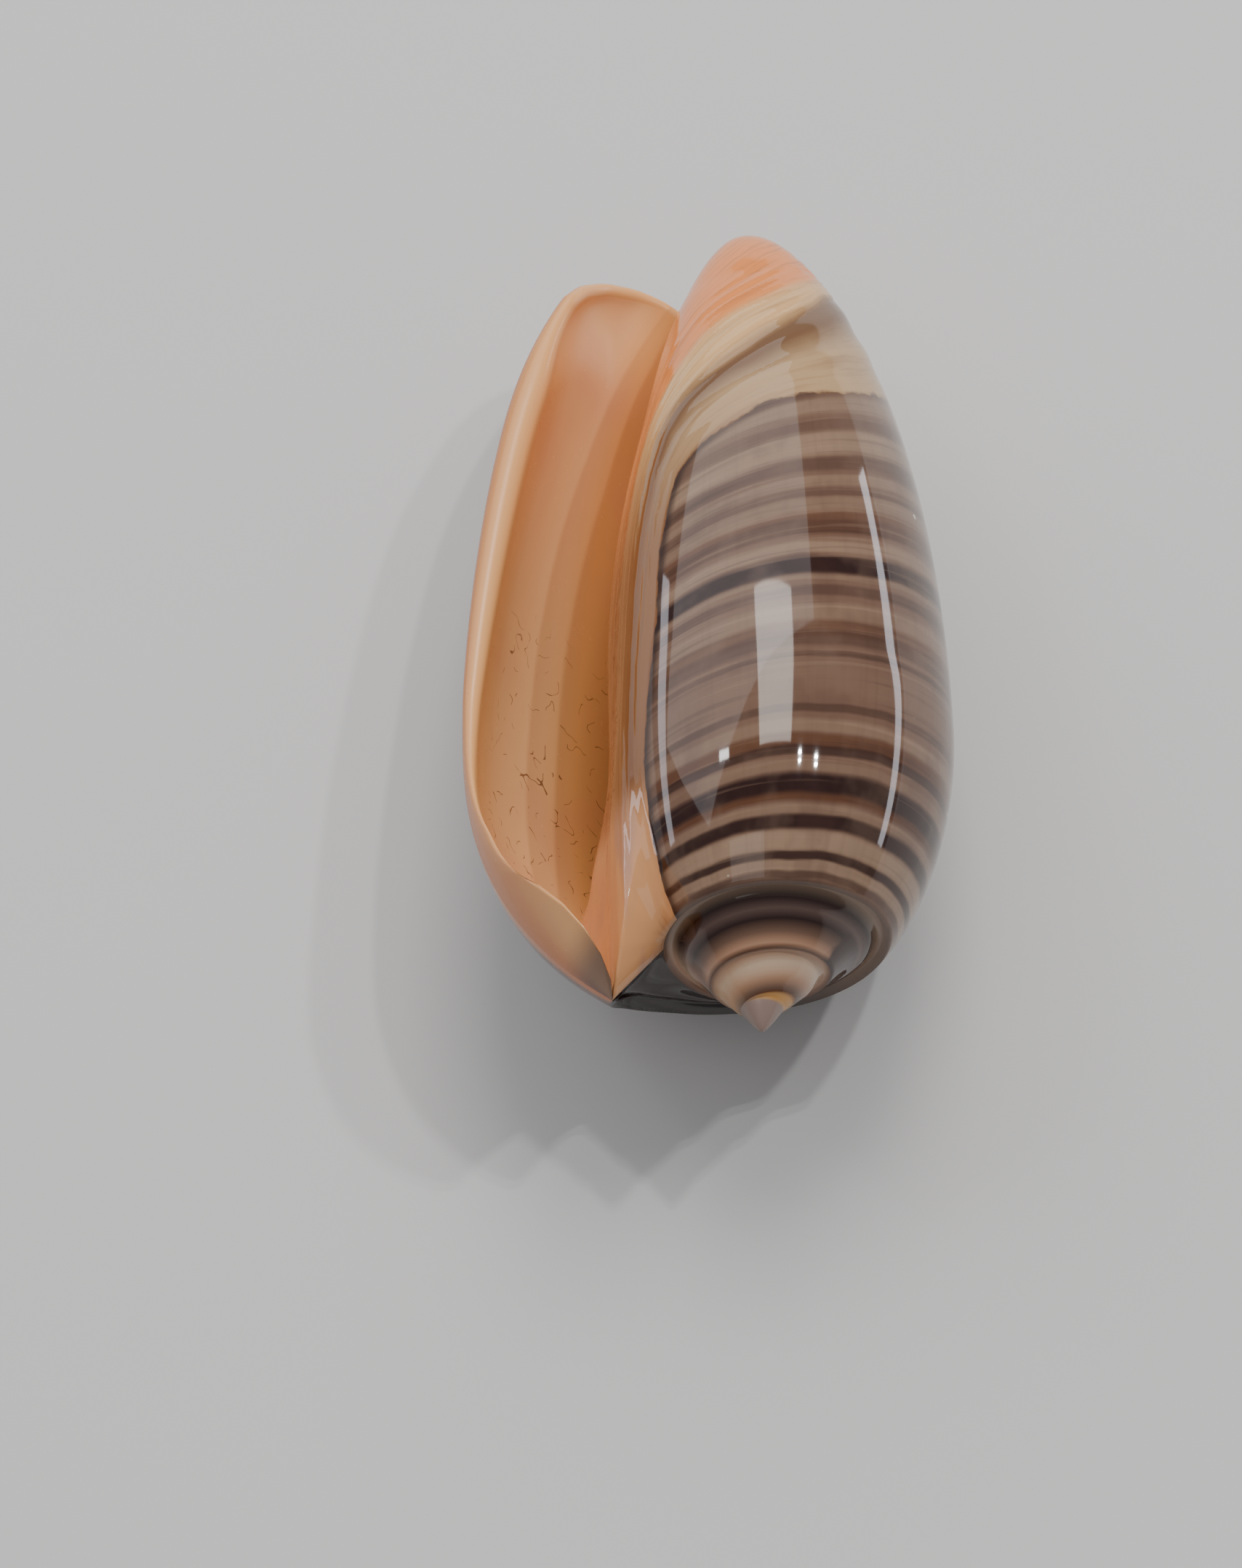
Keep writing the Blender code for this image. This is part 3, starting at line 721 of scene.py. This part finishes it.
# %% Threads, clouds, streaks and specks on the body
threads = m.drawn_out(age, 0.008, place, 60.0, 3.0, 0.55)
body_colour = m.tint(body_colour, m.range(threads, 0.56, 0.76), 0.20, (170, 140, 116))
body_colour = m.tint(body_colour, m.range(threads, 0.44, 0.26), 0.28, (40, 20, 16))
clouds = m.drawn_out(age, 0.045, place, 7.0, 3.0, 0.55)
body_colour = m.tint(body_colour, m.range(clouds, 0.46, 0.72), 0.22, (128, 104, 88))
body_colour = m.tint(body_colour, m.range(clouds, 0.48, 0.28), 0.22, (70, 44, 36))
streaks = m.drawn_out(age, 0.30, place, 1.2, 3.0, 0.6)
body_colour = m.tint(body_colour, m.range(streaks, 0.45, 0.75), 0.08, (60, 38, 32))
dust = m.node("ShaderNodeTexVoronoi", {"feature": "F1"}, {
    "Vector": solid_place, "Scale": 260.0}, "Distance")
body_colour = m.tint(body_colour, m.range(dust, 0.040, 0.030), 1.0, (214, 204, 192))
near_front = m.range(front_at, -0.55, -0.10)
shaded_rim = m.math("MULTIPLY", near_front, m.range(length_at, 33.0, 28.0))
body_colour = m.tint(body_colour, shaded_rim, 0.75, (44, 28, 26))

# %% [markdown]
# ### Front bands and callus
# From the body's edge to the pillar's tip the glaze runs through sand, a brown groove, straw and
# orange. The same bands narrow and darken as they run back along the mouth, and fine threads
# follow them.

# %% Front and callus colour
band_noise = m.noise(solid_place, 260.0, 3.0, 0.55)
front_fine = m.math("ADD", front_at, m.math("MULTIPLY", m.math("SUBTRACT", band_noise, 0.5), 0.20))
SAND, GROOVE, STRAW, ORANGE = (186, 152, 112), (116, 84, 58), (220, 174, 120), (238, 142, 74)
front_colour = m.ramp(m.math("MULTIPLY", front_fine, 0.2), (
    (0.000, GROOVE), (0.015, SAND), (0.100, SAND), (0.165, GROOVE), (0.195, GROOVE),
    (0.270, STRAW), (0.380, STRAW), (0.480, ORANGE), (1.000, ORANGE)))
rearward = m.range(length_at, 33.0, 22.0)
front_colour = m.tint(front_colour, rearward, 0.85, (132, 84, 50))
front_threads = m.drawn_out(front_at, 9.0, age, 0.02, 3.0, 0.6)
front_colour = m.tint(front_colour, m.range(front_threads, 0.45, 0.75), 0.30, (112, 74, 48))
stretched = m.node("ShaderNodeMapping", {}, {
    "Vector": solid_place, "Rotation": (0.0, 0.0, 0.5), "Scale": (900.0, 160.0, 500.0)})
pad_streaks = m.noise(stretched, 1.0, 2.0, 0.5)
pad_colour = m.tint(paint(204, 146, 98), m.range(pad_streaks, 0.5, 0.72), 0.6, (170, 126, 108))
on_pad = m.range(length_at, 11.5, 9.0)
front_colour = m.blend(on_pad, front_colour, pad_colour)

# %% [markdown]
# ### Inner face, lip edge and spire
# The inner face is a warm orange that turns brown deeper in, a painted shade where little light
# reaches, with a dark stain in the rear canal. The lip edge is the brightest orange of all, with
# painted shade on its outer side. The spire's last whorl is banded in taupe, cream and near black,
# the older ones are peach with rust at the suture, the third is ochre, and the apex is worn to a
# greyish pink.

# %% Inner, edge and spire colour
AMBER, APRICOT, SHADE_RUSSET, DEEP_SHADE_BROWN = (244, 172, 100), (250, 188, 128), (162, 104, 68), (92, 58, 40)
# the inner face is orange near the lip; the russet and brown stops deeper in are painted shade where
# little light reaches
inner_colour = m.ramp(m.math("DIVIDE", age, 120.0), (
    (0.00, AMBER), (0.12, APRICOT), (0.28, APRICOT), (0.38, AMBER), (0.62, SHADE_RUSSET), (1.00, DEEP_SHADE_BROWN)))
patches = m.noise(solid_place, 120.0, 2.0, 0.5)
inner_colour = m.tint(inner_colour, m.range(patches, 0.5, 0.7), 0.25, (222, 136, 112))
stain_at = m.math("ADD", length_at, m.math("MULTIPLY", patches, 2.0))
canal_stain = m.range(stain_at, 4.2, 2.8)
inner_colour = m.tint(inner_colour, canal_stain, 1.0, (58, 38, 36))

# %% Hair lines and the lip edge
hair_line = m.math("ABSOLUTE", m.math("SUBTRACT", m.noise(solid_place, 900.0, 1.0, 0.4), 0.5))
broken = m.range(m.noise(solid_place, 1300.0, 0.0, 0.5), 0.54, 0.60)
hairs = m.math("MULTIPLY", m.range(hair_line, 0.012, 0.004), broken)
hairy_part = m.math("MULTIPLY", m.range(length_at, 27.0, 22.0), m.range(age, 8.0, 14.0))
hairs = m.math("MULTIPLY", hairs, hairy_part)
inner_colour = m.tint(inner_colour, hairs, 0.75, (96, 54, 34))
# the lip edge: its orange is darkened towards the outer side as painted shade, and is light peach on
# its top and inner side
edge_colour = m.tint(paint(188, 108, 46), m.range(place, 0.0, 0.55), 1.0, (240, 174, 110))
edge_colour = m.tint(edge_colour, canal_stain, 0.8, (70, 46, 42))

# %% Spire and the outside of the lip
GREY, PEACH, OCHRE, IVORY = (98, 76, 68), (176, 134, 106), (194, 140, 74), (200, 172, 146)
spire_new = m.ramp(place, (
    (0.00, TAUPE), (0.18, CREAM), (0.33, DARK), (0.48, GREY),
    (0.63, DARK), (0.80, TAUPE), (0.93, PEACH), (1.00, RUST)))
spire_old = m.ramp(place, (
    (0.00, RUST), (0.15, PEACH), (0.38, IVORY), (0.68, PEACH), (0.90, TAUPE), (1.00, RUST)))
spire_colour = m.blend(m.range(age, 345.0, 385.0), spire_new, spire_old)
ragged = m.math("MULTIPLY", m.math("SUBTRACT", m.noise(solid_place, 500.0, 3.0, 0.6), 0.5), 26.0)
worn_dark = m.range(m.math("ADD", age, ragged), 212.0, 202.0)
worn_dark = m.math("MULTIPLY", worn_dark, m.range(place, 0.50, 0.58))
spire_colour = m.tint(spire_colour, worn_dark, 1.0, (56, 34, 30))
spire_colour = m.tint(spire_colour, m.range(age, 150.0, 90.0), 1.0, (48, 36, 34))
spire_third = m.ramp(place, ((0.00, RUST), (0.30, OCHRE), (0.80, OCHRE), (1.00, CREAM)))
spire_colour = m.blend(m.range(age, 640.0, 820.0), spire_colour, spire_third)
spire_colour = m.tint(spire_colour, m.range(age, 980.0, 1060.0), 1.0, (142, 120, 110))
SHADED_LIP_ORANGE, UMBER = (198, 112, 48), (88, 60, 54)
# just behind the lip the outside is the lip's orange darkened by painted shade, then the body's umber
outside_lip = m.ramp(m.math("DIVIDE", age, 40.0), (
    (0.00, SHADED_LIP_ORANGE), (0.10, SHADED_LIP_ORANGE), (0.22, UMBER), (1.00, UMBER)))

# %% Join the zones
body_all = m.blend(m.range(age, 30.0, 14.0), body_colour, outside_lip)
ragged_start = m.math("MULTIPLY", m.math("SUBTRACT", m.noise(solid_place, 420.0, 3.0, 0.6), 0.5), 0.5)
colour = m.blend(m.range(m.math("ADD", front_at, ragged_start), -0.04, 0.03), body_all, front_colour)
is_spire = m.math("MULTIPLY", m.math("GREATER_THAN", zone, 0.5), m.math("LESS_THAN", zone, 1.5))
colour = m.blend(is_spire, colour, spire_colour)
colour = m.blend(m.math("GREATER_THAN", zone, 2.5), colour, inner_colour)
colour = m.blend(m.math("GREATER_THAN", zone, 3.5), colour, edge_colour)
m.feed(skin.inputs["Base Color"], colour)

# %% Gloss: glassy outside, duller on the old spire and the inner face
POLISH, UNEVEN, DULLER, SHELL_IOR = 0.02, 0.05, 0.22, 1.53
dull = m.noise(solid_place, 900.0, 3.0, 0.6)
gloss = m.math("ADD", POLISH, m.math("MULTIPLY", dull, UNEVEN))
gloss = m.math("ADD", gloss, m.math("MULTIPLY", m.range(age, 600.0, 1000.0), DULLER))
gloss = m.math("ADD", gloss, m.math("MULTIPLY", m.range(zone, 2.4, 2.8), DULLER))
m.feed(skin.inputs["Roughness"], gloss)
skin.inputs["IOR"].default_value = SHELL_IOR
print("glaze nodes", len(glaze.node_tree.nodes))

# %% [markdown]
# ## The finished shell
# The tree's inputs are set on the modifier by their identifiers, the evaluated result is copied
# to a plain mesh, and the charts go. The new object lies at the origin with its place in its mesh.

# %% Coil, lay down and replace the solid
full = np.concatenate([at(*[values.ravel() for values in chart[0][:3]]) for chart in charts])
lie = np.array(Matrix.Rotation(math.radians(LIE_DEG), 3, "X"))
laid = full @ lie.T
low, high = laid.min(axis=0), laid.max(axis=0)
stand = Vector((-(low[0] + high[0]) / 2, -(low[1] + high[1]) / 2, -low[2] - FLAT_DEPTH)) * MM
coiling = charts_object.modifiers.new("coil", "NODES")
coiling.node_group = coil
inputs = {item.name: item.identifier for item in coil.interface.items_tree if item.in_out == "INPUT"}
coiling[inputs["Stand"]] = tuple(stand)
coiling[inputs["Finish"]] = glaze
depsgraph = bpy.context.evaluated_depsgraph_get()
evaluated = charts_object.evaluated_get(depsgraph)
shell_mesh = bpy.data.meshes.new_from_object(evaluated, depsgraph=depsgraph)
shell = bpy.data.objects.new("olive_shell", shell_mesh)
bpy.context.scene.collection.objects.link(shell)
bpy.data.objects.remove(charts_object)
volume = sum(a.dot(b.cross(c)) for a, b, c in (
    [shell_mesh.vertices[i].co for i in (p.vertices[0], p.vertices[k], p.vertices[k + 1])]
    for p in shell_mesh.polygons for k in range(1, len(p.vertices) - 1))) / 6
print("shell polygons", len(shell_mesh.polygons), "volume mm3", round(volume * 1e9, 1))
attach(shell, "root")
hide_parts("shell")

# %% [markdown]
# ## Floor, camera and light
# The floor is a plain pale sheet. The camera looks down on the shell from behind its spire, as in
# the photograph, with a long lens. Narrow soft lights beside the shell draw the long highlights
# that show how smooth it is.

# %% Floor
FLOOR_SIDE = 1.6
floor_mesh = bpy.data.meshes.new("floor")
half = FLOOR_SIDE / 2
floor_corners = [(-half, -half, 0), (half, -half, 0), (half, half, 0), (-half, half, 0)]
floor_mesh.from_pydata(floor_corners, [], [(0, 1, 2, 3)])
floor = bpy.data.objects.new("floor", floor_mesh)
bpy.context.scene.collection.objects.link(floor)
paper = bpy.data.materials.new("pale_paper")
paper.use_nodes = True
paper_skin = paper.node_tree.nodes["Principled BSDF"]
paper_skin.inputs["Base Color"].default_value = (0.66, 0.655, 0.645, 1)
paper_skin.inputs["Roughness"].default_value = 0.9
floor_mesh.materials.append(paper)

# %% Camera
PICTURE = (1708, 2156)
DISTANCE, TILT_DEG, ROLL_DEG, PIXELS_PER_MM = 250.0, 33.0, -0.5, 29.0
APEX_PIXEL, SENSOR = (1048.0, 1419.0), 36.0
CENTRE = np.array([0.0, 21.0, 0.0])
tilt, roll = math.radians(TILT_DEG), math.radians(ROLL_DEG)
away = np.array([0, -math.sin(tilt), math.cos(tilt)])
upright, right = np.array([0, math.cos(tilt), math.sin(tilt)]), np.array([1.0, 0, 0])
cam_x = right * math.cos(roll) + upright * math.sin(roll)
cam_y = -right * math.sin(roll) + upright * math.cos(roll)
focal = PIXELS_PER_MM * DISTANCE
depth = (CENTRE + DISTANCE * away) @ away
shift_x = (APEX_PIXEL[0] - PICTURE[0] / 2) / focal * depth
shift_y = -(APEX_PIXEL[1] - PICTURE[1] / 2) / focal * depth
eye = DISTANCE * away + CENTRE
eye = eye - (eye @ cam_x) * cam_x - (eye @ cam_y) * cam_y - shift_x * cam_x - shift_y * cam_y


def laid_point(p):
    return Vector(lie @ np.asarray(p, float)) * MM + stand


camera_data = bpy.data.cameras.new("camera")
camera_data.sensor_fit = "VERTICAL"
camera_data.sensor_height = SENSOR
camera_data.lens = focal / PICTURE[1] * SENSOR
camera_data.clip_start, camera_data.clip_end = 0.02, 10.0
camera = bpy.data.objects.new("camera", camera_data)
axes = Matrix([lie @ cam_x, lie @ cam_y, lie @ away]).transposed()
camera.matrix_world = Matrix.Translation(laid_point(eye)) @ axes.to_4x4()
bpy.context.scene.collection.objects.link(camera)
bpy.context.scene.camera = camera
print("camera", [round(v, 4) for v in camera.location], "lens", round(camera_data.lens, 2))

# %% Lights
world = bpy.data.worlds.new("studio")
bpy.context.scene.world = world
world.use_nodes = True
sky = world.node_tree.nodes["Background"].inputs
sky["Color"].default_value = (0.90, 0.92, 0.96, 1)
sky["Strength"].default_value = 0.30
middle = Vector((0.0, 0.0, 0.012))


def panel(name, way, distance, size, glow, colour=(1, 1, 1), along=(0, 1, 0)):
    # a soft light seen from the shell in the direction way; glow is the brightness of its face
    data = bpy.data.lights.new(name, "AREA")
    data.shape = "RECTANGLE"
    data.size, data.size_y = size
    data.energy = glow * math.pi * size[0] * size[1]
    data.color = colour
    light = bpy.data.objects.new(name, data)
    facing = Vector(way).normalized()
    side = Vector(along).cross(facing).normalized()
    turned = Matrix([side, facing.cross(side), facing]).transposed()
    light.matrix_world = Matrix.Translation(middle + facing * distance) @ turned.to_4x4()
    bpy.context.scene.collection.objects.link(light)


WARM, NEUTRAL = (1.0, 0.96, 0.91), (1.0, 0.98, 0.95)
COOL, BLUISH = (0.96, 0.97, 1.0), (0.93, 0.92, 1.0)
panel("front_box", (0.03, 0.45, 0.85), 0.50, (0.18, 0.25), 6.8, WARM)
panel("wide_veil", (-0.376, 0.693, 0.616), 0.60, (1.10, 0.53), 1.25, COOL, (0, 0, 1))
panel("overhead", (-0.30, -0.35, 0.90), 0.60, (0.30, 0.30), 0.8, NEUTRAL)


def strip_light(name, front, rear, distance, width, glow, colour):
    # a long narrow panel between two directions, for the highlight along the whorl
    a, b = Vector(front).normalized() * distance, Vector(rear).normalized() * distance
    centre = (a + b) / 2
    panel(name, centre, centre.length, (width, (b - a).length), glow, colour, b - a)


STRIP_AWAY, LAMP_AWAY = 0.42, 0.42
strip_light("left_strip", (-0.76, 0.62, 0.11), (-0.98, 0.06, 0.13), STRIP_AWAY, 0.042, 4.2, BLUISH)
strip_light("right_strip", (0.66, 0.72, 0.05), (0.99, -0.04, 0.06), STRIP_AWAY, 0.034, 5.6, BLUISH)
LAMP_WAY = Vector((0.40, 0.17, 0.90)).normalized()
LAMP_SIZE, LAMP_GAP = (0.012, 0.003), (0.085, 0.013)
for i in (-1, 1):
    for k in (-1, 1):
        way = LAMP_WAY + Vector((i * LAMP_GAP[0], k * LAMP_GAP[1], 0)) / LAMP_AWAY / 2
        panel("small_lamp", way, LAMP_AWAY, LAMP_SIZE, 1400.0)
panel("side_lamp", (-0.53, 0.23, 0.82), LAMP_AWAY, (0.05, 0.014), 24.0)
